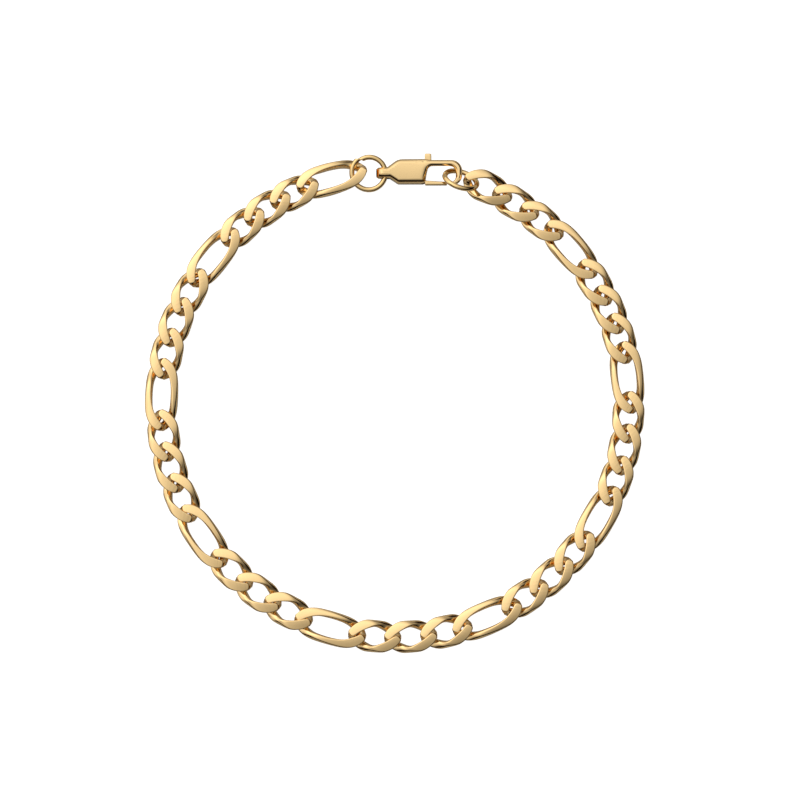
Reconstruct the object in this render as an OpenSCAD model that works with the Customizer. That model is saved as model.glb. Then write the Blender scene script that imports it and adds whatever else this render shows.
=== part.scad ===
// Link bracelet lying closed in a round loop.
// Runs of three short links and one long link, closed by a sprung hook clasp between two jump rings.
// The origin is under the middle of the loop, +X to the right, +Y to the clasp, +Z up.

/* [Chain links] */
// Runs of links round the loop
runs = 9; // [7:1:11]
// Short links in each run, before its long link
shorts = 3; // [1:1:5]
// Outer length of a short link
short_len = 7.35; // [6.8:0.05:8.5]
// Outer length of a long link
long_len = 10.2; // [8.8:0.05:13]
// Outer width of a link
link_w = 4.65; // [4.5:0.05:5.6]
// Thickness of a link between its two cut faces
link_t = 1.84; // [1.7:0.02:2.2]
// Width of the link's wire, across the link's plane
wire_w = 1.08; // [0.8:0.02:1.1]
// Thickness of the link's wire, through the link's plane
wire_t = 1.04; // [0.8:0.02:1.06]
// Twist of each end of a link about the chain's line, in degrees
twist = 54; // [48:1:58]
// How much deeper than wide the loop lies, in percent
loop_oval = 0.7; // [0:0.1:4]

/* [Jump rings] */
// Outer diameter of a jump ring
ring_d = 5.35; // [5:0.05:6.5]
// Wire diameter of a jump ring
ring_wire = 0.72; // [0.6:0.02:0.76]
// Gap where a jump ring's ends meet
ring_split = 0.12; // [0.06:0.02:0.3]
// Lean of the hook's jump ring from lying flat, in degrees
ring_lean = 51.4; // [46:0.2:54]

/* [Clasp] */
// Length of the clasp from the tongue's end to the hook's end
clasp_len = 12; // [11.4:0.1:14]
// Length of the clasp's case, tongue included
case_len = 7.2; // [6.9:0.1:7.6]
// Width of the clasp's case
case_w = 3.45; // [3.3:0.05:3.9]
// Thickness of the clasp's case
case_t = 2.5; // [2.4:0.05:3]
// Width of the tongue that holds the tail's jump ring
tongue_w = 1.5; // [1.3:0.05:1.8]
// Thickness of the tongue at its round end
tongue_t = 2; // [1.9:0.05:2.3]
// Length of the tongue
tongue_len = 1.9; // [1.8:0.05:2.2]
// Width of the hook's arm
hook_w = 0.88; // [0.75:0.01:0.95]
// Thickness of the hook's arm
hook_t = 1.2; // [1:0.05:1.25]
// Thickness of the trigger's plate
trigger_t = 0.7; // [0.5:0.05:0.8]
// Height of the thumb tab above the case
tab_rise = 0.85; // [0.5:0.05:1.2]
// Width of the thumb tab
tab_w = 0.93; // [0.7:0.05:1]
// Width of the trigger's gate at its tip
gate_w = 0.45; // [0.35:0.05:0.5]
// Radius of the trigger's pin
pin_r = 0.35; // [0.25:0.01:0.4]

/* [Hidden] */
$fn = 48;
gold = [0.86, 0.70, 0.42];

// The links, in order clockwise from the hook
run_links = shorts + 1;
link_count = runs * run_links;
function link_len(i) = i % run_links == shorts ? long_len : short_len;
function link_name(i) = str("link_", i < 9 ? "0" : "", i + 1);
LINKS = [for (i = [0:link_count - 1]) link_name(i)];

// Slack in the joints of each run of links: pushed together at both sides of the clasp,
// drawn nearly tight at the bottom of the loop, and more where a long link meets a short one.
// The first link is pushed into the hook's jump ring by hook_slack
SLACK = [0.76, 0.91, 0.68, 0.56, 0.24, 0.35, 0.68, 0.57, 0.86];
long_slack = 0.15;
hook_slack = 0.3;
tail_slack = 0.68;
function slack(i) = SLACK[floor(i / run_links) % len(SLACK)]
    + (link_len(i) == link_len(i + 1) ? 0 : long_slack);

// A link is one closed wire. Its middle line is a squared oval, twisted about the chain's line.
// The wire swells at the oval's corners, mostly to the cut faces, and what stands past the two
// cut faces is flattened into them
stations = 16;
wire_sides = 6;
squareness = 2.8;
corner_spread = 0.46;
corner_rise = 1;
first_station = 360 / stations;
end_reach = (short_len - wire_w) / 2;
side_reach = (link_w - wire_w) / 2;
mid_z = link_t / 2;
function power(v, p) = sign(v) * pow(abs(v), p);
function turned(x, lead) = -twist * sign(x) * max(0, abs(x) - lead) / end_reach;
function twisted(p, lead) = let (a = turned(p.x, lead))
    [p.x, p.y * cos(a) - p.z * sin(a), max(-mid_z, min(mid_z, p.y * sin(a) + p.z * cos(a)))];
function wire_ring(long, t) =
    let (
        lead = (long - short_len) / 2,
        bend = [end_reach * power(cos(t), 2 / squareness), side_reach * power(sin(t), 2 / squareness)],
        middle = bend + [lead * max(-1, min(1, cos(t) / cos(3 * first_station))), 0],
        out = [
            power(bend.x / end_reach, squareness - 1) / end_reach,
            power(bend.y / side_reach, squareness - 1) / side_reach
        ],
        spread = wire_w / 2 * (1 + corner_spread * abs(sin(2 * t)))
    )
    [for (k = [0:wire_sides - 1])
        let (a = 360 * k / wire_sides, p = middle + out / norm(out) * spread * cos(a))
        twisted([p.x, p.y, wire_t / 2 * sin(a) * (1 + corner_rise * max(0, -sin(2 * t) * sin(a)))], lead)];
function link_points(long) = [for (s = [0:stations - 1]) each wire_ring(long, s * first_station)];
function link_faces() = [
    for (s = [0:stations - 1], k = [0:wire_sides - 1])
        let (
            next_s = (s + 1) % stations,
            next_k = (k + 1) % wire_sides,
            a = s * wire_sides + k,
            b = next_s * wire_sides + k,
            c = next_s * wire_sides + next_k,
            d = s * wire_sides + next_k
        )
        each [[a, c, b], [a, d, c]]];

// The clasp's own zero is the tongue's eye, and the clasp points along +X
tongue_end = 1.24;
eye_clear = 0.24;
eye_z = tongue_t / 2;
eye_r = ring_wire / 2 + eye_clear;
tongue_y = -0.2;
neck_x = tongue_len - tongue_end;
half_w = case_w / 2;
case_end = case_len - tongue_end;
hook_end = clasp_len - tongue_end;
hook_in = hook_end - hook_w;
hook_top = case_t - 0.1;
hook_low = hook_top - hook_t;
arm_y = half_w - 0.15;
arm_low = arm_y - hook_w;
tip_x = hook_end - 2.1;
tip_y = -half_w - 0.325;

// The trigger turns on a pin in a slot that opens to the case's top edge and to its face
slot_clear = 0.1;
plate_low = 0.55;
pin_clear = 0.05;
pin_seat = 0.02;
hub_r = pin_r + 0.37;
pin_at = [case_end - 1.1, -0.45];
pin_top = plate_low + trigger_t + 0.45;
gate_low = tip_y + 0.15;
gate_x = pin_at.x + 0.75;
tab_x = pin_at.x + 0.68;
edge_cut = 0.1;

// The loop: each joint takes its length of a near circle, and the clasp and its two rings close it
ring_r = (ring_d - ring_wire) / 2;
ring_span = 1.08 * ring_r;
tail_run = long_len / 2 - wire_w - tail_slack - ring_wire / 2 + ring_r;
hook_run = hook_in + ring_span + short_len / 2 - wire_w - hook_slack;
function joint_len(i) = (link_len(i) + link_len(i + 1)) / 2 - 2 * wire_w - slack(i);
function chain_to(i) = i == 0 ? 0 : chain_to(i - 1) + joint_len(i - 1);
loop_len = chain_to(link_count - 1) + tail_run + ring_r + hook_run;
loop_r = loop_len / (2 * PI);
tail_turn = -6.5;
function turn_of(length) = length / loop_len * 360;
function link_turn(i) = tail_turn + turn_of(ring_r + hook_run + chain_to(i));
function bearing(turn) = turn - loop_oval / 4 * sin(2 * turn) * 1.8 / PI;
function heading(turn) = bearing(turn) + loop_oval * sin(2 * bearing(turn)) * 1.8 / PI;
function on_loop(turn, r = loop_r) = let (b = bearing(turn), far = r * (1 + loop_oval / 200 * cos(2 * b)))
    [far * sin(b), far * cos(b)];

// The tail's jump ring lies nearly level in the tongue's eye
tail_inset = 0.25;
tail_centre = on_loop(tail_turn, loop_r - tail_inset);
tail_at = concat(tail_centre + [0.02, 0.03], [mid_z + 0.12]);
tail_lean = [9.7, 0.85];
tail_split_turn = 120;
clasp_at = tail_centre + [ring_r - 0.06, -tongue_y];

// The hook's jump ring leans, so that it passes under the hook and over the trigger's gate
ring_at = concat(clasp_at + [hook_in + 0.69, -1.36], [ring_r * sin(ring_lean) + ring_wire / 2]);
ring_heading = -20.4;
ring_split_turn = 200;

// That ring holds up the near end of the first link, and the tail's ring holds up a side of the last
first_lift = 6.6;
first_roll = -2.7;
first_shift = 0.1;
last_roll = -4.9;
function rolled(p, roll) = [p.x, p.y * cos(roll) - p.z * sin(roll), p.y * sin(roll) + p.z * cos(roll)];
function lifted(p, lift) = let (reach = p.x - short_len / 2)
    [short_len / 2 + reach * cos(lift) + p.z * sin(lift), p.y, p.z * cos(lift) - reach * sin(lift)];
function grounded(points) = let (rise = -mid_z - min([for (p = points) p.z]))
    [for (p = points) p + [0, 0, rise]];
FIRST = grounded([
    for (p = link_points(link_len(0))) lifted(rolled(p, first_roll), first_lift) + [0, first_shift, 0]]);
LAST = grounded([for (p = link_points(link_len(link_count - 1))) rolled(p, last_roll)]);
function points_of(i) = i == 0 ? FIRST : i == link_count - 1 ? LAST : link_points(link_len(i));

// The middle of the loop's box is over the origin
function placed(i) = let (middle = on_loop(link_turn(i)), h = heading(link_turn(i)))
    [for (p = points_of(i)) middle + p.x * [cos(h), -sin(h)] + p.y * [sin(h), cos(h)]];
chain_points = [for (i = [0:link_count - 1]) each placed(i)];
chain_x = [for (p = chain_points) p.x];
low_y = min([for (p = chain_points) p.y]);
high_y = max(tail_centre.y + ring_d / 2, clasp_at.y + half_w + tab_rise);
box_mid = [(min(chain_x) + max(chain_x)) / 2, (low_y + high_y) / 2];
module centred() {
    translate([-box_mid.x, -box_mid.y, 0]) children();
}

// Points along an arc from one angle to another
function arc(c, r, from, to, steps = 6) =
    [for (k = [0:steps]) let (a = from + (to - from) * k / steps) c + r * [cos(a), sin(a)]];

// Outline of the clasp's case and hook seen from above
corner_r = 0.4;
crest_r = 0.9;
hook_out_r = 1.5;
hook_in_r = 0.85;
root_r = 0.45;
shoulder = 1.15;
face_lean = 0.35;
function clasp_outline() = let (
        tongue_low = tongue_y - tongue_w / 2,
        tongue_high = tongue_y + tongue_w / 2,
        tip_top = tip_y + hook_w / 2,
        tip_step = 0.22
    )
    concat(
        [[-tongue_end, tongue_low], [neck_x, tongue_low], [neck_x + shoulder, -half_w]],
        arc([case_end - face_lean - corner_r, -half_w + corner_r], corner_r, -90, -8),
        [[case_end, arm_low - root_r - 0.1]],
        arc([case_end + root_r + 0.02, arm_low - root_r], root_r, 180, 90),
        arc([hook_in - hook_in_r, arm_low - hook_in_r], hook_in_r, 90, 0),
        arc([hook_in - hook_in_r, tip_top + hook_in_r], hook_in_r, 0, -80),
        [[tip_x + tip_step, tip_top], [tip_x + tip_step, tip_y + 0.12]],
        arc([hook_end - hook_out_r, tip_y + hook_out_r], hook_out_r, -90, 0),
        arc([hook_end - hook_out_r, arm_y - hook_out_r], hook_out_r, 0, 90),
        [[case_end + 0.3, arm_y], [case_end, half_w]],
        arc([neck_x + shoulder + 0.6, half_w - crest_r], crest_r, 90, 150, 4),
        [[neck_x, tongue_high], [-tongue_end, tongue_high]]
    );

// Outline of the clasp seen from the side: a round tongue, a domed case and a thinner hook
crown_x = 2.6;
function clasp_profile() = concat(
    arc([eye_z - tongue_end, eye_z], eye_z, 90, 270, 12),
    [[case_end, 0], [case_end + 0.25, hook_low], [hook_end + 1, hook_low],
     [hook_end + 1, hook_top - 0.2], [hook_end - hook_out_r, hook_top],
     [case_end, case_t], [crown_x + 0.8, case_t], [crown_x - 0.6, case_t - 0.1]]
);

// Room for the trigger's plate, open at the top edge for the tab and at the face for the gate
function slot_outline() = let (
        left = pin_at.x - hub_r - slot_clear,
        low = pin_at.y - hub_r - slot_clear,
        right = tab_x + tab_w + 0.14
    )
    [[left, low], [pin_at.x + 0.2, low], [pin_at.x + 0.3, -case_w], [hook_in, -case_w], [hook_in, 0.1],
     [right, 0.4], [right, case_w], [left + 0.1, case_w]];

// Outline of the trigger's gate and thumb tab, which meet at its hub
function lever_outline() = let (
        gate_top = gate_low + gate_w,
        tab_top = half_w + tab_rise,
        tab_end = tab_x + tab_w
    )
    [[pin_at.x + 0.3, pin_at.y - 0.6], [gate_x, gate_low], [tip_x - edge_cut, gate_low],
     [tip_x, gate_low + edge_cut], [tip_x - edge_cut, gate_top], [gate_x, gate_top + 0.17],
     [pin_at.x + 0.6, pin_at.y + 0.2], [pin_at.x + 1.1, 0.5], [tab_end, half_w - 0.2],
     [tab_end, tab_top - edge_cut], [tab_end - edge_cut, tab_top], [tab_x + edge_cut, tab_top],
     [tab_x, tab_top - edge_cut], [tab_x, half_w - 0.3], [pin_at.x - 0.1, pin_at.y + 0.55]];

module chain_link(i) {
    color(gold) centred()
        translate(concat(on_loop(link_turn(i)), [mid_z]))
        rotate([0, 0, -heading(link_turn(i))])
        polyhedron(points = points_of(i), faces = link_faces(), convexity = 4);
}

// A round wire bent into a ring, with its split at the +X side
module split_ring() {
    gap = ring_split / (2 * PI * ring_r) * 360;
    rotate([0, 0, gap / 2])
        rotate_extrude(angle = 360 - gap)
        translate([ring_r, 0])
        circle(d = ring_wire, $fn = 24);
}

module tail_jump_ring() {
    color(gold) centred()
        translate(tail_at)
        rotate([tail_lean[0], tail_lean[1], 0])
        rotate([0, 0, tail_split_turn])
        split_ring();
}

module hook_jump_ring() {
    color(gold) centred()
        translate(ring_at)
        rotate([0, 0, ring_heading])
        rotate([-ring_lean, 0, 0])
        rotate([0, 0, ring_split_turn])
        split_ring();
}

module clasp_case() {
    color(gold) centred() translate(clasp_at) difference() {
        intersection() {
            linear_extrude(case_t) polygon(clasp_outline());
            translate([0, 2 * case_w, 0]) rotate([90, 0, 0])
                linear_extrude(4 * case_w) polygon(clasp_profile());
        }
        // Eye for the jump ring
        translate([0, tongue_y, eye_z]) rotate([90, 0, 0]) cylinder(r = eye_r, h = 2 * tongue_w, center = true);
        // Slot for the trigger
        translate([0, 0, plate_low - slot_clear])
            linear_extrude(trigger_t + 2 * slot_clear) polygon(slot_outline());
        // Blind hole for the pin, drilled from the back
        translate([pin_at.x, pin_at.y, -1]) cylinder(r = pin_r + pin_seat, h = pin_top + 1.05);
    }
}

module clasp_trigger() {
    color(gold) centred() translate([clasp_at.x, clasp_at.y, plate_low]) difference() {
        union() {
            linear_extrude(trigger_t) polygon(lever_outline());
            translate([pin_at.x, pin_at.y, 0]) cylinder(r = hub_r, h = trigger_t);
        }
        // Bore that the pin runs in
        translate([pin_at.x, pin_at.y, -1]) cylinder(r = pin_r + pin_clear, h = trigger_t + 2);
    }
}

module trigger_pin() {
    color(gold) centred()
        translate([clasp_at.x + pin_at.x, clasp_at.y + pin_at.y, pin_seat])
        cylinder(r = pin_r, h = pin_top - pin_seat);
}

for (i = [0:link_count - 1]) chain_link(i);
tail_jump_ring();
hook_jump_ring();
clasp_case();
clasp_trigger();
trigger_pin();
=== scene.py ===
"""Looks of a gold-coloured link bracelet that lies closed in a round loop on a plain pale ground.

Finished meshes are in metres, in the part's own frame: +Z up, +Y from the loop's middle to the
clasp. Sizes are written in millimetres.
"""
import math

import bmesh
import bpy
import numpy as np
from mathutils import Euler, Matrix, Vector


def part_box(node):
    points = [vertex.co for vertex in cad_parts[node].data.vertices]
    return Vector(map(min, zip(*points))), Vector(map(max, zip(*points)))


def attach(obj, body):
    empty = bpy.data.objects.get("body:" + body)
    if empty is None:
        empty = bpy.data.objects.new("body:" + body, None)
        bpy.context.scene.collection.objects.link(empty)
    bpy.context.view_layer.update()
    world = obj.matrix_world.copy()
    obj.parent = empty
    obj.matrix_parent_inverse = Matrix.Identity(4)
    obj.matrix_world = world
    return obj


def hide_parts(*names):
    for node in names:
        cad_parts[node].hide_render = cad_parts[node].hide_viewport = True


MM = 0.001
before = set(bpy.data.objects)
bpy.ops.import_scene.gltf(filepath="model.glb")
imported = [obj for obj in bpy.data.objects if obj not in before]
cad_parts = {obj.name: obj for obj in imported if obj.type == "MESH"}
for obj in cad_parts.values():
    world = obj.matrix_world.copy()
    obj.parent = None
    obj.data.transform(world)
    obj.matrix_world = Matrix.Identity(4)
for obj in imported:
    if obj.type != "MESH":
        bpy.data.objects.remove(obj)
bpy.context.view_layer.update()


# Chain links
# Each link is a loop of drawn wire, twisted at both ends so that the chain lies flat. The finished
# chain is cut and polished on both faces, which leaves a bright, slightly crowned facet with crisp
# rims on each side of every link.

# The link's body, its wire and its two cut faces
LINK_BODY_W = 4.65
LINK_BODY_T = 1.84
LINK_TWIST = math.radians(54)
WIRE_WIDE = 1.06
WIRE_THICK = 0.94
SIDE_THICK = 1.6
CROWN_ALONG = 0.42
CROWN_ACROSS = 0.36
RIM_ROUND = 0.25

# The form of the wire: squareness is 2 for an ellipse and more for squarer shapes
OUTSIDE_SQUARENESS = 3.6
INSIDE_SQUARENESS = 1.5
WIRE_SQUARENESS = 2.5
SIDE_FOCUS = 4.0
CORNER_RISE = 1.7
STRAIGHT_FROM = math.radians(67.5)

# How finely a link is made, and how far its sides are smoothed along the wire
LINK_STATIONS = 96
SECTION_POINTS = 240
FACE_SLACK = 0.02
RIM_SHARE = 0.45
RIM_STEPS = (0.33, 0.67)
FACET_STEPS = (0.0, 0.5, 1.0)
WALL_STEPS = (0.0, 0.25, 0.5, 0.75, 1.0)
POLISH_PASSES = 8
POLISHED_FROM = 0.75
WELD = 0.002
TINY = 1e-9


def cad_points(node):
    """The node's separate corner points in millimetres."""
    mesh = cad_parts[node].data
    points = np.empty(len(mesh.vertices) * 3)
    mesh.vertices.foreach_get("co", points)
    return np.unique(np.round(points.reshape(-1, 3) / MM, 4), axis=0)


def own_axes(points):
    """Middle of a point set, and its long, middle and short directions as a right-handed frame."""
    middle = points.mean(0)
    thin, _, long = np.linalg.eigh(np.cov((points - middle).T))[1].T
    thin = thin * np.sign(thin[2] or 1)
    return middle, long, np.cross(thin, long), thin


link_nodes = sorted(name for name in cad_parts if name.startswith("link_"))
link_places = {name: own_axes(cad_points(name)) for name in link_nodes}


def link_length(name):
    """How long a link is along its own long direction."""
    reach = cad_points(name) @ link_places[name][1]
    return reach.max() - reach.min()


short_len = link_length("link_02")
long_len = link_length("link_04")


def signed_power(value, power):
    """The power of a number's size, with the number's own sign."""
    return np.sign(value) * np.abs(value) ** power


def twisted_wire(length):
    """Rings of points round the wire of one link, before it is cut."""
    t = np.linspace(0, 2 * np.pi, LINK_STATIONS, endpoint=False)
    lead = (length - short_len) / 2
    shift = lead * np.clip(np.cos(t) / math.cos(STRAIGHT_FROM), -1, 1)
    edges = []
    for inset, squareness in ((0, OUTSIDE_SQUARENESS), (WIRE_WIDE, INSIDE_SQUARENESS)):
        edge_x = (short_len / 2 - inset) * signed_power(np.cos(t), 2 / squareness) + shift
        edge_y = (LINK_BODY_W / 2 - inset) * signed_power(np.sin(t), 2 / squareness)
        edges.append(np.stack([edge_x, edge_y], axis=1))
    outside, inside = edges
    a = np.linspace(0, 2 * np.pi, SECTION_POINTS, endpoint=False)
    across = signed_power(np.cos(a), 2 / WIRE_SQUARENESS)
    up = signed_power(np.sin(a), 2 / WIRE_SQUARENESS)
    middle = (outside + inside) / 2
    reach = (outside - inside) / 2
    x = middle[:, :1] + reach[:, :1] * across
    y = middle[:, 1:] + reach[:, 1:] * across
    rise = 1 + CORNER_RISE * np.maximum(0, -np.sin(2 * t)[:, None] * np.sin(a))
    thick = WIRE_THICK + (SIDE_THICK - WIRE_THICK) * np.abs(np.sin(t)) ** SIDE_FOCUS
    z = (thick / 2)[:, None] * up * rise
    end_reach = short_len / 2 - WIRE_WIDE / 2
    turn = -LINK_TWIST * np.sign(x) * np.maximum(0, np.abs(x) - lead) / end_reach
    turned_y = y * np.cos(turn) - z * np.sin(turn)
    turned_z = y * np.sin(turn) + z * np.cos(turn)
    return np.stack([x, turned_y, turned_z], axis=2)


def convex_order(flat):
    """Indices of the convex outline of flat points, counterclockwise."""
    order = np.lexsort((flat[:, 1], flat[:, 0]))
    outline = []
    for run in (order, order[::-1]):
        half = []
        for i in run:
            while len(half) > 1:
                (x0, y0), (x1, y1) = flat[half[-2]], flat[half[-1]]
                if (x1 - x0) * (flat[i, 1] - y0) - (y1 - y0) * (flat[i, 0] - x0) > TINY:
                    break
                half.pop()
            half.append(i)
        outline += half[:-1]
    return outline


def along_line(points, shares):
    """Points at the given shares of the length of a line of points."""
    steps = np.linalg.norm(np.diff(points, axis=0), axis=1)
    reach = np.append(0, np.cumsum(steps))
    at = np.array(shares) * reach[-1]
    return np.stack([np.interp(at, reach, points[:, k]) for k in range(3)], axis=1)


def cut_section(ring, length):
    """One section of the wire: cut above and below, convex, with slightly rounded rims.

    Its four sides are the upper facet, a wall, the lower facet and the other wall.
    """
    along = ring[:, 0] / (length / 2)
    across = ring[:, 1] / (LINK_BODY_W / 2)
    limit = LINK_BODY_T / 2 - CROWN_ALONG * along ** 2 - CROWN_ACROSS * across ** 2
    spots = ring.copy()
    spots[:, 2] = np.clip(ring[:, 2], -limit, limit)
    out = ring[0, :2] - ring[SECTION_POINTS // 2, :2]
    out /= np.linalg.norm(out)
    flat = np.stack([spots[:, :2] @ out, spots[:, 2]], axis=1)
    hull = convex_order(flat)
    corners = []
    for side in (1, -1):
        highest = (side * flat[:, 1] - limit).max()
        found = [k for k in hull if side * flat[k, 1] - limit[k] > highest - FACE_SLACK]
        found.sort(key=lambda k: side * flat[k, 0])
        corners += [hull.index(found[-1]), hull.index(found[0])]
    sides = []
    for j in range(4):
        first, last = corners[j], corners[(j + 1) % 4]
        path = [hull[k % len(hull)] for k in range(first, last + 1 + len(hull) * (last < first))]
        line = spots[path] if len(path) > 1 else spots[path * 2]
        sides.append(line if j % 2 else line[[0, -1]])
    lengths = [np.linalg.norm(np.diff(line, axis=0), axis=1).sum() for line in sides]
    trimmed = []
    for j, line in enumerate(sides):
        facet = 0 if j % 2 else lengths[j]
        before = min(RIM_ROUND, RIM_SHARE * (facet or lengths[j - 1]))
        after = min(RIM_ROUND, RIM_SHARE * (facet or lengths[(j + 1) % 4]))
        size = max(lengths[j], TINY)
        start, end = before / size, 1 - after / size
        steps = WALL_STEPS if j % 2 else FACET_STEPS
        trimmed.append(along_line(line, [start + (end - start) * step for step in steps]))
    points = []
    for j, line in enumerate(trimmed):
        corner = sides[j][0]
        for step in RIM_STEPS:
            near = (1 - step) ** 2 * trimmed[j - 1][-1] + 2 * step * (1 - step) * corner
            points.append(near + step ** 2 * line[0])
        points += list(line)
    return points


def link_mesh(name, length):
    """One link as a closed mesh of its cut sections, with its sides smoothed along the wire."""
    sections = np.array([cut_section(ring, length) for ring in twisted_wire(length)])
    t = np.linspace(0, 2 * np.pi, LINK_STATIONS, endpoint=False)
    share = np.clip((np.abs(np.sin(t)) - POLISHED_FROM) / (1 - POLISHED_FROM), 0, 1)[:, None, None]
    for _ in range(POLISH_PASSES):
        beside = (np.roll(sections, 1, axis=0) + np.roll(sections, -1, axis=0)) / 2
        sections = sections + share * (beside - sections) / 2
    bm = bmesh.new()
    grid = [[bm.verts.new(Vector(spot) * MM) for spot in ring] for ring in sections]
    around = len(grid[0])
    for s, ring in enumerate(grid):
        after = grid[(s + 1) % LINK_STATIONS]
        for k in range(around):
            k1 = (k + 1) % around
            bm.faces.new((ring[k], after[k], after[k1], ring[k1]))
    bmesh.ops.remove_doubles(bm, verts=bm.verts, dist=WELD * MM)
    bmesh.ops.recalc_face_normals(bm, faces=bm.faces)
    for face in bm.faces:
        face.smooth = True
    mesh = bpy.data.meshes.new(name)
    bm.to_mesh(mesh)
    bm.free()
    return mesh


# The metal's patterns, in waves to the metre, and its finish
TONE_SCALE = 420
SMEAR_SCALE = 1500
WAVE_SCALE = 650
LINE_SCALE = 9000
DULLEST_TONE = 0.965
GLOSS_SPREAD = 0.07
LINE_DEPTH = 0.0004


def polished_gold(name, tint, wave, gloss):
    """Hand-polished gold-coloured metal: soft waves, hair-fine polishing lines, uneven gloss."""
    material = bpy.data.materials.new(name)
    material.use_nodes = True
    nodes, links = material.node_tree.nodes, material.node_tree.links
    shader = nodes["Principled BSDF"]
    shader.inputs["Metallic"].default_value = 1.0
    place = nodes.new("ShaderNodeTexCoord")

    def pattern(scale, detail):
        """A cloudy pattern in the piece's own coordinates."""
        noise = nodes.new("ShaderNodeTexNoise")
        noise.inputs["Scale"].default_value = scale
        noise.inputs["Detail"].default_value = detail
        links.new(place.outputs["Object"], noise.inputs["Vector"])
        return noise.outputs["Fac"]

    def relief(height, depth):
        """Fine relief of the surface, as deep as given in millimetres."""
        bump = nodes.new("ShaderNodeBump")
        bump.inputs["Strength"].default_value = 1
        bump.inputs["Distance"].default_value = depth * MM
        links.new(height, bump.inputs["Height"])
        return bump

    tones = nodes.new("ShaderNodeValToRGB")
    dull, clear = tones.color_ramp.elements
    dull.color = (*(c * DULLEST_TONE for c in tint), 1)
    dull.position = 0.35
    clear.color = (*tint, 1)
    clear.position = 0.65
    links.new(pattern(TONE_SCALE, 2), tones.inputs["Fac"])
    links.new(tones.outputs["Color"], shader.inputs["Base Color"])

    smears = nodes.new("ShaderNodeMapRange")
    smears.inputs["From Min"].default_value = 0.3
    smears.inputs["From Max"].default_value = 0.7
    smears.inputs["To Min"].default_value = gloss
    smears.inputs["To Max"].default_value = gloss + GLOSS_SPREAD
    links.new(pattern(SMEAR_SCALE, 3), smears.inputs["Value"])
    links.new(smears.outputs["Result"], shader.inputs["Roughness"])

    waves = relief(pattern(WAVE_SCALE, 1), wave)
    lines = relief(pattern(LINE_SCALE, 2), LINE_DEPTH)
    links.new(waves.outputs["Normal"], lines.inputs["Normal"])
    links.new(lines.outputs["Normal"], shader.inputs["Normal"])
    return material


def chain_tree():
    """Geometry nodes that set a short or a long link on each of the chain's link places."""
    tree = bpy.data.node_groups.new("Links along the chain", "GeometryNodeTree")
    face = tree.interface
    face.new_socket("Link places", in_out="INPUT", socket_type="NodeSocketGeometry")
    face.new_socket("Short link", in_out="INPUT", socket_type="NodeSocketObject")
    face.new_socket("Long link", in_out="INPUT", socket_type="NodeSocketObject")
    face.new_socket("Link size", in_out="INPUT", socket_type="NodeSocketFloat")
    face.new_socket("Metal", in_out="INPUT", socket_type="NodeSocketMaterial")
    face.new_socket("Chain", in_out="OUTPUT", socket_type="NodeSocketGeometry")
    nodes, links = tree.nodes, tree.links
    given = nodes.new("NodeGroupInput")
    made = nodes.new("NodeGroupOutput")
    lean = nodes.new("GeometryNodeInputNamedAttribute")
    lean.data_type = "FLOAT_VECTOR"
    lean.inputs["Name"].default_value = "lean"
    is_long = nodes.new("GeometryNodeInputNamedAttribute")
    is_long.data_type = "BOOLEAN"
    is_long.inputs["Name"].default_value = "is_long"
    is_short = nodes.new("FunctionNodeBooleanMath")
    is_short.operation = "NOT"
    links.new(is_long.outputs["Attribute"], is_short.inputs[0])
    both = nodes.new("GeometryNodeJoinGeometry")
    for kind, chosen in (("Short link", is_short.outputs[0]), ("Long link", is_long.outputs["Attribute"])):
        link = nodes.new("GeometryNodeObjectInfo")
        link.inputs["As Instance"].default_value = True
        setter = nodes.new("GeometryNodeInstanceOnPoints")
        links.new(given.outputs[kind], link.inputs["Object"])
        links.new(given.outputs["Link places"], setter.inputs["Points"])
        links.new(chosen, setter.inputs["Selection"])
        links.new(link.outputs["Geometry"], setter.inputs["Instance"])
        links.new(lean.outputs["Attribute"], setter.inputs["Rotation"])
        links.new(given.outputs["Link size"], setter.inputs["Scale"])
        links.new(setter.outputs["Instances"], both.inputs["Geometry"])
    whole = nodes.new("GeometryNodeRealizeInstances")
    metal = nodes.new("GeometryNodeSetMaterial")
    links.new(both.outputs["Geometry"], whole.inputs["Geometry"])
    links.new(whole.outputs["Geometry"], metal.inputs["Geometry"])
    links.new(given.outputs["Metal"], metal.inputs["Material"])
    links.new(metal.outputs["Geometry"], made.inputs["Chain"])
    return tree


def stand_alone(name, mesh):
    """An object in the part's own frame that holds a mesh or a camera."""
    thing = bpy.data.objects.new(name, mesh)
    bpy.context.scene.collection.objects.link(thing)
    return thing


short_link = stand_alone("short_link", link_mesh("short_link", short_len))
long_link = stand_alone("long_link", link_mesh("long_link", long_len))

places = bpy.data.meshes.new("link_places")
places.from_pydata([Vector(link_places[name][0]) * MM for name in link_nodes], [], [])
lean = places.attributes.new("lean", "FLOAT_VECTOR", "POINT")
is_long = places.attributes.new("is_long", "BOOLEAN", "POINT")
for i, name in enumerate(link_nodes):
    turned = Matrix(np.stack(link_places[name][1:], axis=1).tolist())
    lean.data[i].vector = turned.to_euler("XYZ")
    is_long.data[i].value = bool(link_length(name) > (short_len + long_len) / 2)

chain_gold = polished_gold("chain_gold", (0.98, 0.69, 0.33), wave=0.009, gloss=0.03)
layout = stand_alone("chain_layout", places)
setting = layout.modifiers.new("Links", "NODES")
setting.node_group = chain_tree()
sockets = {}
for socket in setting.node_group.interface.items_tree:
    if socket.in_out == "INPUT":
        sockets[socket.name] = socket.identifier
setting[sockets["Short link"]] = short_link
setting[sockets["Long link"]] = long_link
setting[sockets["Link size"]] = 1.0
setting[sockets["Metal"]] = chain_gold
ready = layout.evaluated_get(bpy.context.evaluated_depsgraph_get())
chain = stand_alone("chain", bpy.data.meshes.new_from_object(ready))
for helper in (layout, short_link, long_link):
    bpy.data.objects.remove(helper)
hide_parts(*link_nodes)
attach(chain, "bracelet")


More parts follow.
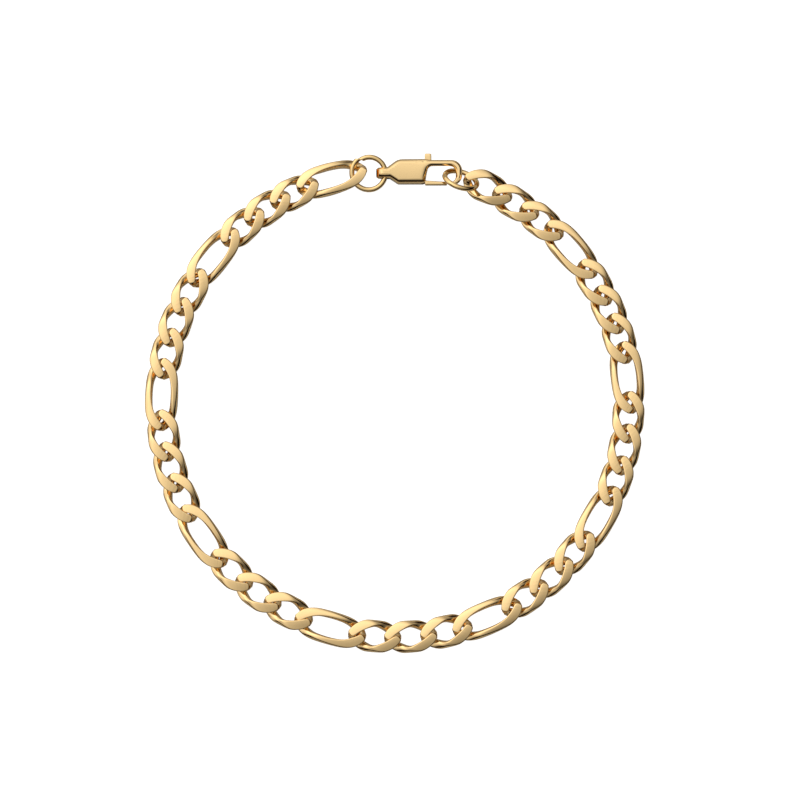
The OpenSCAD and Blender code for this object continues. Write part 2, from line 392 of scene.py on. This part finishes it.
# Jump rings
# Two split rings of round drawn wire join the chain to the clasp. Each one is wound, sawn through
# and closed, so its two ends meet a little unevenly.

RING_SIDES = 24
RING_STATIONS = 128
SAWN_EDGE = 0.06
SAWN_EDGE_FORM = ((0, 1), (0.35, 0.3), (1, 0))
ring_gold = polished_gold("ring_gold", (0.96, 0.67, 0.3), wave=0.002, gloss=0.03)


def fitted_ring(node):
    """Middle, axis, direction of the split, middle radius and wire radius of a ring."""
    points = cad_points(node)
    axis = own_axes(points)[3]
    across = np.cross(axis, [1.0, 0, 0])
    across /= np.linalg.norm(across)
    over = np.cross(axis, across)
    flat = np.stack([points @ across, points @ over], axis=1)
    terms = np.c_[2 * flat, np.ones(len(flat))]
    middle = np.linalg.lstsq(terms, (flat ** 2).sum(1), rcond=None)[0][:2]
    reach = np.linalg.norm(flat - middle, axis=1)
    height = points @ axis
    mid_height = (height.max() + height.min()) / 2
    angle = np.sort(np.arctan2(*(flat - middle).T[::-1]))
    gaps = np.diff(np.append(angle, angle[0] + 2 * np.pi))
    widest = gaps.argmax()
    split_at = angle[widest] + gaps[widest] / 2
    centre = middle[0] * across + middle[1] * over + mid_height * axis
    split = math.cos(split_at) * across + math.sin(split_at) * over
    return centre, axis, split, (reach.max() + reach.min()) / 2, (reach.max() - reach.min()) / 2


def jump_ring(name, node, slant, step, gap):
    """A split ring whose wire ends are sawn at a slant and stand a little apart."""
    centre, axis, split, ring_r, wire_r = fitted_ring(node)
    side = np.cross(axis, split)
    run = 2 * math.pi * ring_r - gap
    edge = [(SAWN_EDGE * along, wire_r - SAWN_EDGE * inward) for along, inward in SAWN_EDGE_FORM]
    stations = list(edge)
    stations += [(s, wire_r) for s in np.linspace(0, run, RING_STATIONS)[2:-2]]
    stations += [(run - s, r) for s, r in reversed(edge)]
    bm = bmesh.new()
    rings = []
    for s, r in stations:
        shift = step * (0.5 - s / run)
        end = max(0, 1 - min(s, run - s) / (2 * wire_r))
        ring = []
        for k in range(RING_SIDES):
            a = 2 * math.pi * k / RING_SIDES
            out, up = r * math.cos(a), r * math.sin(a)
            t = gap / 2 / ring_r + (s + slant * out * end) / ring_r
            far = ring_r + out + shift
            spot = centre + far * (math.cos(t) * split + math.sin(t) * side) + up * axis
            ring.append(bm.verts.new(Vector(spot) * MM))
        rings.append(ring)
    for ring, after in zip(rings, rings[1:]):
        for k in range(RING_SIDES):
            k1 = (k + 1) % RING_SIDES
            bm.faces.new((ring[k], ring[k1], after[k1], after[k]))
    bm.faces.new(reversed(rings[0]))
    bm.faces.new(rings[-1])
    bmesh.ops.recalc_face_normals(bm, faces=bm.faces)
    for face in bm.faces:
        face.smooth = len(face.verts) == 4
    mesh = bpy.data.meshes.new(name)
    bm.to_mesh(mesh)
    bm.free()
    mesh.materials.append(ring_gold)
    ring = stand_alone(name, mesh)
    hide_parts(node)
    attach(ring, "bracelet")


jump_ring("tail_ring", "tail_jump_ring", slant=0.9, step=0.3, gap=0.16)
jump_ring("hook_ring", "hook_jump_ring", slant=0.3, step=0.05, gap=0.1)


# Clasp case
# The case, the tongue with its eye and the hook are one casting with softened edges. A slot in the
# case takes the trigger, and a hole drilled into the back takes its pin.

# Places along and across the clasp, from the tongue's eye
TONGUE_END = 1.24
TONGUE_LOW = -0.95
TONGUE_HIGH = 0.55
NECK_X = 0.66
CHIN_X = 0.3
CHIN_RUN = 1.15
SHOULDER_X = 1.8
HALF_W = 1.725
CASE_END = 5.96
FACE_LEAN = 0.4
ARM_HIGH = 1.575
ARM_LOW = 0.695
ARM_ROOT = 0.35
ARM_ROOT_BACK = 0.2
HOOK_END = 10.76
HOOK_IN = 9.88
TIP_X = 8.88
TIP_LOW = -2.05
TIP_HIGH = -1.61

# Heights of the face, of the hook and of the tongue, and how the face falls to both ends
CASE_T = 2.5
HOOK_LOW = 1.2
HOOK_TOP = 2.4
TONGUE_R = 1
FACE_CROWN = 0.1
NECK_FALL = 0.5
NECK_FALL_FROM = 3.4
NECK_FALL_RUN = 4
ARM_FALL_FROM = 5.2
ARM_FALL_RUN = 1.4
BOW_FALL = 0.2
BOW_FALL_FROM = 9
BOW_FALL_RUN = 1.8
HOOK_STEP_BACK = 0.05
HOOK_STEP_RUN = 0.25

# Softened edges: their width on the case, on the hook and at its tip, and where it changes
CASE_EDGE = 0.5
HOOK_EDGE = 0.36
TIP_EDGE = 0.17
HOOK_EDGE_BACK = 0.6
HOOK_EDGE_RUN = 0.5
TIP_EDGE_BACK = 0.5
TIP_EDGE_HIGH = -1.1
EDGE_FORM = 1.4
EDGE_SHARES = (0, 0.02, 0.08, 0.2, 0.4, 0.6, 0.8, 0.93, 1)
CASE_GRID = 0.24
CUT_SLACK = 1e-5
SHARP_FROM = math.radians(40)

# Eye, pin hole and slot
EYE_R = 0.6
DRILL_REACH = 2
PIN_X = 4.86
PIN_Y = -0.45
PIN_HOLE_R = 0.37
PIN_HOLE_LOW = -1
PIN_HOLE_TOP = 1.75
PLATE_LOW = 0.55
PLATE_T = 0.7
SLOT_ROOM = 0.1
HUB_ROOM = 0.82
SLOT_OUT = 3.4
SLOT_MOUTH = 0.2
SLOT_MOUTH_OUT = 0.3
GATE_ROOM_TOP = 0.1
TAB_ROOM_BACK = 0.72
TAB_ROOM_END = 6.61
TAB_ROOM_LOW = 0.4

clasp_low = np.array(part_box("clasp_case")[0]) / MM
clasp_x = clasp_low[0] + TONGUE_END
clasp_y = clasp_low[1] - TIP_LOW
clasp_shift = (clasp_x, clasp_y, 0)


def filleted(corners, steps=8):
    """A closed outline whose corners, given as x, y and radius, are rounded."""
    outline = []
    for i, (x, y, radius) in enumerate(corners):
        here = np.array([x, y])
        back = np.array(corners[i - 1][:2]) - here
        ahead = np.array(corners[(i + 1) % len(corners)][:2]) - here
        back = back / np.linalg.norm(back)
        ahead = ahead / np.linalg.norm(ahead)
        half = math.acos(np.clip(back @ ahead, -1, 1)) / 2
        middle = here + (back + ahead) / np.linalg.norm(back + ahead) * radius / math.sin(half)
        start = here + back * radius / math.tan(half) - middle
        sweep = math.pi - 2 * half
        sweep *= math.copysign(1, back[0] * ahead[1] - back[1] * ahead[0]) * -1
        for k in range(steps + 1):
            turn = sweep * k / steps
            outline.append(middle + [start[0] * math.cos(turn) - start[1] * math.sin(turn),
                                     start[0] * math.sin(turn) + start[1] * math.cos(turn)])
    return np.array(outline)


def edge_distance(points, outline):
    """How far each point is from the nearest side of an outline."""
    run = np.roll(outline, -1, axis=0) - outline
    length = np.maximum((run ** 2).sum(1), TINY ** 2)
    share = np.clip(((points[:, None] - outline) * run).sum(2) / length, 0, 1)
    return np.linalg.norm(points[:, None] - outline - share[..., None] * run, axis=2).min(1)


def cast_plate(name, outline, top, low, edge_width, grid, shift):
    """A plate with softened edges, between heights and with edge widths that depend on x and y."""
    bm = bmesh.new()
    sides = np.roll(outline, -1, axis=0) - outline
    sides = np.stack([sides[:, 1], -sides[:, 0]], axis=1) / np.linalg.norm(sides, axis=1)[:, None]
    out = sides + np.roll(sides, 1, axis=0)
    out = 2 * out / (out ** 2).sum(1)[:, None]
    width = np.array([edge_width(x, y) for x, y in outline])[:, None]
    rings = []
    for share in EDGE_SHARES:
        rings.append([bm.verts.new((x, y, 0)) for x, y in outline - out * width * share])
    for ring, after in zip(rings, rings[1:]):
        for k in range(len(outline)):
            bm.faces.new((ring[k - 1], ring[k], after[k], after[k - 1]))
    inner = [bm.faces.new(rings[-1])]
    for axis in (0, 1):
        low_end, high_end = outline[:, axis].min(), outline[:, axis].max()
        for at in np.arange(low_end + grid, high_end, grid):
            where, way = Vector((0, 0, 0)), Vector((0, 0, 0))
            where[axis], way[axis] = at, 1
            parts = inner + [e for f in inner for e in f.edges] + [v for f in inner for v in f.verts]
            parts = list(dict.fromkeys(parts))
            split = bmesh.ops.bisect_plane(bm, geom=parts, dist=CUT_SLACK, plane_co=where, plane_no=way)
            inner = [f for f in split["geom"] if isinstance(f, bmesh.types.BMFace)]
    bmesh.ops.triangulate(bm, faces=[f for f in bm.faces if len(f.verts) > 4])
    flat = np.array([vert.co[:2] for vert in bm.verts])
    width = np.array([edge_width(x, y) for x, y in flat])
    inside = np.clip(edge_distance(flat, outline) / width, 0, 1)
    drop = width * (1 - (1 - (1 - inside) ** EDGE_FORM) ** (1 / EDGE_FORM))
    upper = bm.faces[:]
    rim = [e for e in bm.edges if e.is_boundary]
    twin = {}
    for vert, (x, y), down in zip(bm.verts[:], flat, drop):
        twin[vert] = bm.verts.new((x, y, low(x, y) + down))
        vert.co.z = top(x, y) - down
    for face in upper:
        bm.faces.new([twin[vert] for vert in reversed(face.verts)])
    for edge in rim:
        first, second = edge.verts
        bm.faces.new((first, second, twin[second], twin[first]))
    return set_down(name, bm, shift)


def straight_prism(name, outline, bottom, height, shift):
    """An upright block on an outline."""
    bm = bmesh.new()
    base = bm.faces.new([bm.verts.new((x, y, bottom)) for x, y in outline])
    up = bmesh.ops.extrude_face_region(bm, geom=[base])["geom"]
    for vert in up:
        if isinstance(vert, bmesh.types.BMVert):
            vert.co.z += height
    return set_down(name, bm, shift)


def set_down(name, bm, shift):
    """A finished shape as an object in metres, moved to its place."""
    bmesh.ops.recalc_face_normals(bm, faces=bm.faces)
    for vert in bm.verts:
        vert.co = (vert.co + Vector(shift)) * MM
    mesh = bpy.data.meshes.new(name)
    bm.to_mesh(mesh)
    bm.free()
    return stand_alone(name, mesh)


def circle(x, y, radius, sides=48):
    """An outline of a circle."""
    turn = np.linspace(0, 2 * np.pi, sides, endpoint=False)
    return np.stack([x + radius * np.cos(turn), y + radius * np.sin(turn)], axis=1)


def finish_casting(blank, cutters):
    """Take every cutter away from the blank, and shade it smooth but for its sharp edges."""
    for cutter in cutters:
        cut = blank.modifiers.new("cut", "BOOLEAN")
        cut.operation = "DIFFERENCE"
        cut.solver = "EXACT"
        cut.object = cutter
    ready = blank.evaluated_get(bpy.context.evaluated_depsgraph_get())
    mesh = bpy.data.meshes.new_from_object(ready)
    blank.modifiers.clear()
    blank.data = mesh
    for cutter in cutters:
        bpy.data.objects.remove(cutter)
    mesh.shade_smooth()
    mesh.set_sharp_from_angle(angle=SHARP_FROM)


case_outline = filleted([
    (-TONGUE_END, TONGUE_LOW, 0.36),
    (NECK_X, TONGUE_LOW, 0.35),
    (NECK_X + CHIN_RUN, -HALF_W, 0.45),
    (CASE_END - FACE_LEAN, -HALF_W, 0.42),
    (CASE_END, ARM_LOW, 0.8),
    (HOOK_IN, ARM_LOW, 0.85),
    (HOOK_IN, TIP_HIGH, 0.8),
    (TIP_X, TIP_HIGH, 0.2),
    (TIP_X, TIP_LOW, 0.23),
    (HOOK_END, TIP_LOW, 1.5),
    (HOOK_END, ARM_HIGH, 1.5),
    (CASE_END + ARM_ROOT, ARM_HIGH, 0.4),
    (CASE_END - ARM_ROOT_BACK, HALF_W, 0.5),
    (SHOULDER_X, HALF_W, 1.9),
    (CHIN_X, TONGUE_HIGH, 0.5),
    (-TONGUE_END, TONGUE_HIGH, 0.36)])


def share_of_run(x, start, run):
    """How far x is along a run, from 0 at its start to 1 at its end."""
    return min(1, max(0, (x - start) / run))


def tongue_bulge(x):
    """Half the height of the tongue, which is round at its end."""
    past = min(0, x + TONGUE_END - TONGUE_R)
    return math.sqrt(max(0, TONGUE_R ** 2 - past ** 2))


def case_top(x, y):
    """Height of the domed face, which falls to the round tongue and a little to the hook."""
    neck = share_of_run(-x, -NECK_FALL_FROM, NECK_FALL_RUN)
    arm = share_of_run(x, ARM_FALL_FROM, ARM_FALL_RUN)
    bow = share_of_run(x, BOW_FALL_FROM, BOW_FALL_RUN)
    face = CASE_T - NECK_FALL * neck ** 2 - (CASE_T - HOOK_TOP) * arm ** 2 - BOW_FALL * bow ** 2
    return min(face, TONGUE_R + tongue_bulge(x)) - FACE_CROWN * (y / HALF_W) ** 2


def case_low(x, y):
    """Height of the flat back, of the round tongue's underside and of the hook's underside."""
    step = share_of_run(x, CASE_END - HOOK_STEP_BACK, HOOK_STEP_RUN)
    return max(TONGUE_R - tongue_bulge(x), HOOK_LOW * step)


def edge_softness(x, y):
    """Width of the softened edge: broad on the case, less on the hook and least at its tip."""
    if x > TIP_X - TIP_EDGE_BACK and y < TIP_EDGE_HIGH:
        return TIP_EDGE
    hook_share = share_of_run(x, CASE_END - HOOK_EDGE_BACK, HOOK_EDGE_RUN)
    return CASE_EDGE + (HOOK_EDGE - CASE_EDGE) * hook_share


case = cast_plate("clasp", case_outline, case_top, case_low, edge_softness, CASE_GRID, clasp_shift)
eye = straight_prism("eye", circle(0, 0, EYE_R), -DRILL_REACH, 2 * DRILL_REACH, (0, 0, 0))
eye_at = Vector((clasp_x, clasp_y + (TONGUE_LOW + TONGUE_HIGH) / 2, TONGUE_R)) * MM
eye.data.transform(Matrix.Translation(eye_at) @ Matrix.Rotation(math.pi / 2, 4, "X"))
slot_outline = [
    (PIN_X - HUB_ROOM, PIN_Y - HUB_ROOM),
    (PIN_X + SLOT_MOUTH, PIN_Y - HUB_ROOM),
    (PIN_X + SLOT_MOUTH_OUT, -SLOT_OUT),
    (HOOK_IN, -SLOT_OUT),
    (HOOK_IN, GATE_ROOM_TOP),
    (TAB_ROOM_END, TAB_ROOM_LOW),
    (TAB_ROOM_END, SLOT_OUT),
    (PIN_X - TAB_ROOM_BACK, SLOT_OUT)]
slot = straight_prism("slot", slot_outline, PLATE_LOW - SLOT_ROOM, PLATE_T + 2 * SLOT_ROOM, clasp_shift)
pin_hole = straight_prism(
    "pin_hole", circle(PIN_X, PIN_Y, PIN_HOLE_R), PIN_HOLE_LOW, PIN_HOLE_TOP - PIN_HOLE_LOW, clasp_shift)
finish_casting(case, [slot, eye, pin_hole])
clasp_gold = polished_gold("clasp_gold", (0.94, 0.67, 0.325), wave=0.003, gloss=0.05)
case.data.materials.append(clasp_gold)
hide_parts("clasp_case")
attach(case, "bracelet")


# Trigger and its pin
# The trigger is a flat cast lever with a hub, a thumb tab at the case's edge and a gate that closes
# the hook. It turns on a plain drawn pin, which is pressed into the back of the case.

GATE_X = 5.61
GATE_END = 8.66
GATE_LOW = -1.9
GATE_W = 0.45
GATE_ROOT = 0.17
TAB_X = 5.54
TAB_W = 0.93
TAB_RISE = 0.85
HUB_R = 0.72
HUB_FROM = 110
HUB_TO = 300
BORE_R = 0.4
LEVER_EDGE = 0.1
LEVER_GRID = 0.5
TAB_TOP = HALF_W + TAB_RISE

lever_corners = filleted([
    (GATE_X, GATE_LOW, 0.1),
    (GATE_END, GATE_LOW, 0.1),
    (GATE_END, GATE_LOW + GATE_W, 0.1),
    (GATE_X, GATE_LOW + GATE_W + GATE_ROOT, 0.3),
    (PIN_X + 0.65, PIN_Y + 0.2, 0.3),
    (PIN_X + 1.1, 0.5, 0.3),
    (TAB_X + TAB_W, HALF_W - 0.2, 0.2),
    (TAB_X + TAB_W, TAB_TOP, 0.18),
    (TAB_X, TAB_TOP, 0.18),
    (TAB_X, HALF_W - 0.3, 0.3)])
hub_turn = np.radians(np.linspace(HUB_FROM, HUB_TO, 16))
hub_side = np.stack([PIN_X + HUB_R * np.cos(hub_turn), PIN_Y + HUB_R * np.sin(hub_turn)], axis=1)
lever_outline = np.concatenate([lever_corners, hub_side])


def lever_top(x, y):
    """Height of the lever's flat upper side."""
    return PLATE_LOW + PLATE_T


def lever_low(x, y):
    """Height of the lever's flat lower side."""
    return PLATE_LOW


def lever_edge(x, y):
    """Width of the lever's softened edge, the same all round."""
    return LEVER_EDGE


trigger = cast_plate("trigger", lever_outline, lever_top, lever_low, lever_edge, LEVER_GRID, clasp_shift)
bore = straight_prism("bore", circle(PIN_X, PIN_Y, BORE_R), -DRILL_REACH, 2 * DRILL_REACH, clasp_shift)
finish_casting(trigger, [bore])
trigger.data.materials.append(clasp_gold)
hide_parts("clasp_trigger")
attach(trigger, "trigger")

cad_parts["trigger_pin"].material_slots[0].material = clasp_gold


# Ground, light and camera
# The bracelet lies on a plain white ground under a broad soft light from above, strongest from the
# upper left. The low horizon is dark, so that the metal's edges and turned sides stand out.

GROUND_HALF = 2000
GROUND_DROP = 0.02
quarters = ((-1, -1), (1, -1), (1, 1), (-1, 1))
ground_corners = [Vector((x * GROUND_HALF, y * GROUND_HALF, -GROUND_DROP)) * MM for x, y in quarters]
ground_mesh = bpy.data.meshes.new("ground")
ground_mesh.from_pydata(ground_corners, [], [(0, 1, 2, 3)])
ground = stand_alone("ground", ground_mesh)
ground_paint = bpy.data.materials.new("ground_white")
ground_paint.use_nodes = True
ground_shader = ground_paint.node_tree.nodes["Principled BSDF"]
ground_shader.inputs["Base Color"].default_value = (0.5, 0.5, 0.5, 1)
ground_shader.inputs["Roughness"].default_value = 0.9
ground_shader.inputs["Emission Color"].default_value = (1, 0.995, 0.99, 1)
seen = ground_paint.node_tree.nodes.new("ShaderNodeLightPath")
glow = ground_paint.node_tree.nodes.new("ShaderNodeMapRange")
glow.inputs["To Min"].default_value = 0.035
glow.inputs["To Max"].default_value = 0.95
ground_paint.node_tree.links.new(seen.outputs["Is Camera Ray"], glow.inputs["Value"])
ground_paint.node_tree.links.new(glow.outputs["Result"], ground_shader.inputs["Emission Strength"])
ground_mesh.materials.append(ground_paint)

world = bpy.data.worlds.new("soft_room")
bpy.context.scene.world = world
world.use_nodes = True
sky, wires = world.node_tree.nodes, world.node_tree.links
aim = sky.new("ShaderNodeTexCoord")
apart = sky.new("ShaderNodeSeparateXYZ")
height = sky.new("ShaderNodeValToRGB")
horizon, zenith = height.color_ramp.elements
horizon.position = 0.44
horizon.color = (0.014, 0.006, 0.003, 1)
zenith.position = 0.84
zenith.color = (0.84, 0.84, 0.84, 1)
window = sky.new("ShaderNodeVectorMath")
window.operation = "DOT_PRODUCT"
window.inputs[1].default_value = (-0.66, 0.66, -0.35)
slope = sky.new("ShaderNodeMapRange")
slope.inputs["From Min"].default_value = -1
slope.inputs["From Max"].default_value = 1
slope.inputs["To Min"].default_value = 0.1
slope.inputs["To Max"].default_value = 2.65
toned = sky.new("ShaderNodeVectorMath")
toned.operation = "SCALE"
key = sky.new("ShaderNodeMapRange")
key.interpolation_type = "SMOOTHSTEP"
key.inputs["From Min"].default_value = 0.15
key.inputs["From Max"].default_value = 0.65
both_lights = sky.new("ShaderNodeVectorMath")
wires.new(aim.outputs["Generated"], apart.inputs["Vector"])
wires.new(apart.outputs["Z"], height.inputs["Fac"])
wires.new(aim.outputs["Generated"], window.inputs[0])
wires.new(window.outputs["Value"], slope.inputs["Value"])
wires.new(window.outputs["Value"], key.inputs["Value"])
wires.new(height.outputs["Color"], toned.inputs[0])
wires.new(slope.outputs["Result"], toned.inputs["Scale"])
wires.new(toned.outputs["Vector"], both_lights.inputs[0])
wires.new(key.outputs["Result"], both_lights.inputs[1])
wires.new(both_lights.outputs["Vector"], sky["Background"].inputs["Color"])
bpy.context.scene.view_settings.view_transform = "Standard"

PICTURE_WIDE = 800
PIXELS_PER_MM = 7.2
CAMERA_RISE = math.radians(83)
CAMERA_FAR = 400 * MM
CAMERA_AIM = Vector((0.72, 0.25, 0)) * MM
lens = bpy.data.cameras.new("camera")
lens.sensor_width = 36
lens.lens = lens.sensor_width * CAMERA_FAR / (PICTURE_WIDE / PIXELS_PER_MM * MM)
camera = stand_alone("camera", lens)
camera.location = CAMERA_AIM + CAMERA_FAR * Vector((0, -math.cos(CAMERA_RISE), math.sin(CAMERA_RISE)))
camera.rotation_euler = Euler((math.pi / 2 - CAMERA_RISE, 0, 0))
bpy.context.scene.camera = camera
